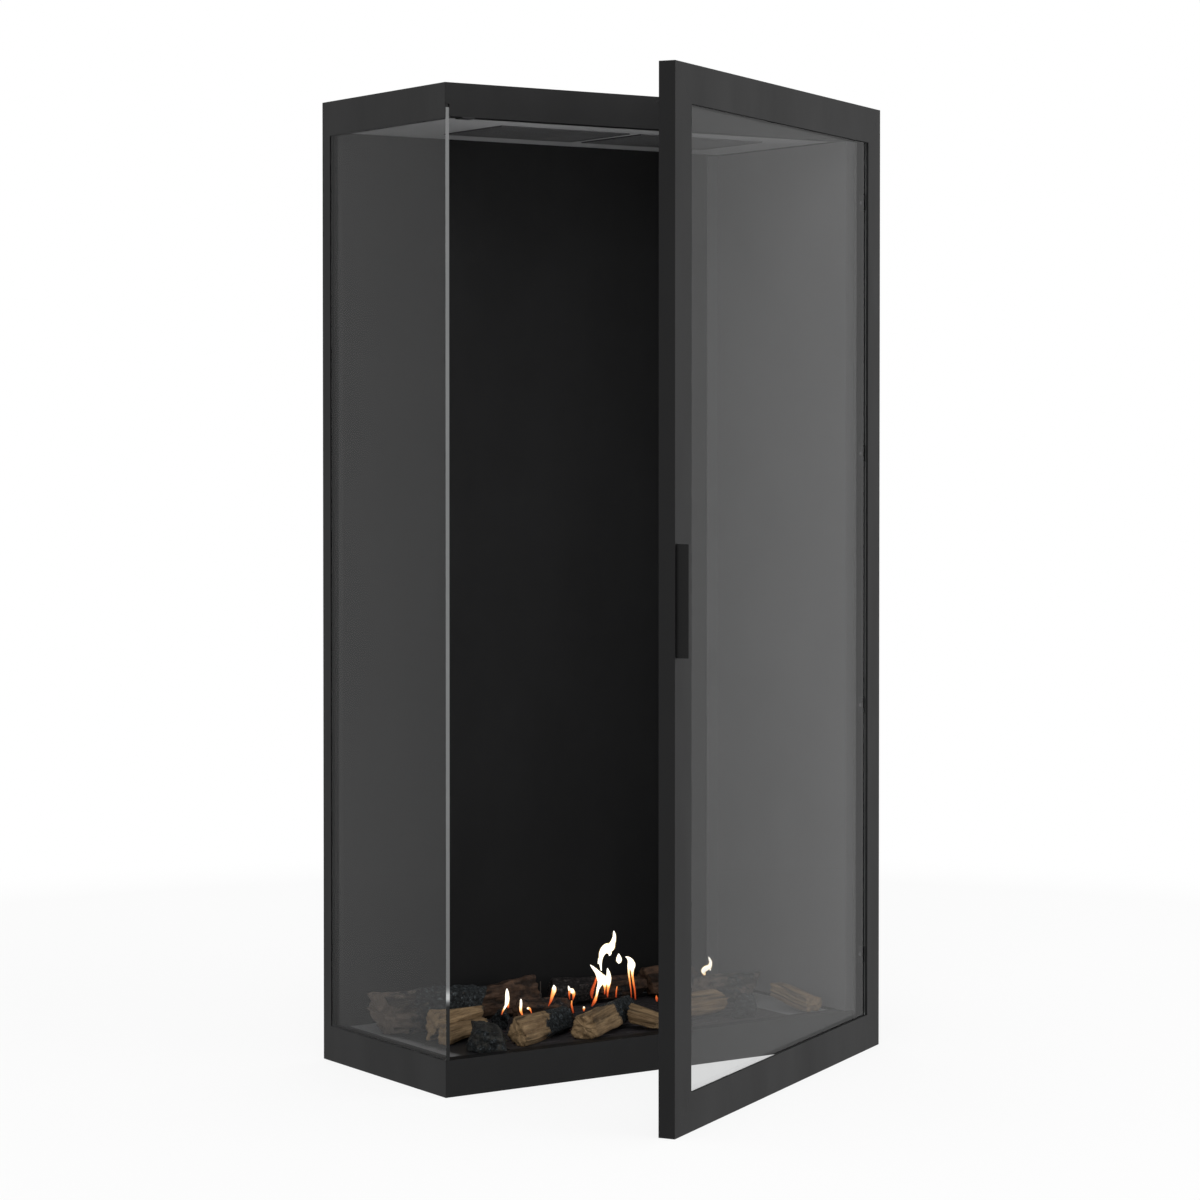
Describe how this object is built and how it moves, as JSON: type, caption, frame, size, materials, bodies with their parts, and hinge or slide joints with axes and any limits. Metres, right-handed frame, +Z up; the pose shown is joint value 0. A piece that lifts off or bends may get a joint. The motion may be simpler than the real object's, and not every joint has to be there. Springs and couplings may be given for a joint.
{
  "type": "corner fireplace",
  "caption": "Tall gas fireplace cabinet with glass on its left side, a framed glass door on a pivot hinge at the front, a slotted burner with ceramic logs, and a concentric flue outlet on top.",
  "frame": {"origin": "middle of the cabinet's base, on the surface that it stands on", "axes": "+X to the right, +Y to the back, +Z up; the door is modelled standing open 30 degrees, as pictured"},
  "size_m": [0.64, 0.643, 1.2],
  "materials": {
    "powder_black": "fine textured matt powder coat",
    "chamber_black": "dead matt heat resistant paint",
    "chamber_grey": "matt heat resistant paint",
    "grille_black": "matt heat resistant paint",
    "clear_glass": "clear float",
    "galvanised": "zinc coated sheet",
    "bright_steel": "turned",
    "brass": "machined",
    "valve_cast": "die cast",
    "insulation": "pressed mineral fibre",
    "rope_black": "braided glass fibre",
    "bark_log": "cast fibre, brown bark",
    "split_log": "cast fibre, pale split wood",
    "charred_log": "cast fibre, charred",
    "probe": "glazed insulator"
  },
  "bodies": {
    "cabinet": {"bottom_frame": "powder_black", "top_frame": "powder_black", "rear_left_post": "powder_black", "front_right_post": "powder_black", "right_outer_panel": "powder_black", "back_outer_panel": "powder_black", "back_liner": "chamber_black", "burner_deck": "chamber_black", "burner_box": "chamber_black", "right_liner": "chamber_grey", "floor_panel": "chamber_grey", "ceiling_panel": "chamber_grey", "exhaust_grilles": "grille_black", "side_glass": "clear_glass", "base_plate": "galvanised", "roof_panel": "galvanised", "flue_outer_collar": "galvanised", "flue_inner_collar": "galvanised", "exhaust_hood": "galvanised", "venturi_tube": "bright_steel", "hinge_brackets": "bright_steel", "hinge_bolts": "bright_steel", "catch_magnet": "bright_steel", "pilot_burner": "bright_steel", "flame_sensor": "bright_steel", "gas_injector": "brass", "gas_pipe": "brass", "gas_inlet_union": "brass", "hinge_bushes": "brass", "gas_valve": "valve_cast", "insulation_boards": "insulation", "side_glass_seals": "rope_black", "log_back_left": "bark_log", "log_middle": "bark_log", "log_back_right": "bark_log", "log_mottled": "bark_log", "log_forked": "split_log", "log_front_middle": "split_log", "log_front_right": "split_log", "log_split": "split_log", "log_right": "split_log", "log_sloping": "split_log", "log_left": "charred_log", "log_front_left": "charred_log", "log_back_charred": "charred_log", "charcoal_lumps": "charred_log", "spark_electrode": "probe"},
    "door": {"door_bottom_rail": "powder_black", "door_top_rail": "powder_black", "door_hinge_stile": "powder_black", "door_free_stile": "powder_black", "door_handle": "powder_black", "door_glass": "clear_glass", "handle_screws": "bright_steel", "door_pivot_blocks": "bright_steel", "door_pivot_pins": "bright_steel", "catch_strike": "bright_steel", "glazing_clips": "bright_steel", "door_gasket": "rope_black"},
    "shutter": {"air_shutter": "bright_steel"}
  },
  "joints": [
    {"name": "door_hinge", "type": "hinge", "parent": "cabinet", "child": "door", "pos_m": [0.3055, -0.1642, 0.6], "axis": [0, 0, 1], "range_deg": [-30.1, 59.9]},
    {"name": "air_shutter_turn", "type": "hinge", "parent": "cabinet", "child": "shutter", "pos_m": [0.2345, -0.0775, 0.024], "axis": [1, 0, 0], "range_deg": [0, 90]}
  ]
}
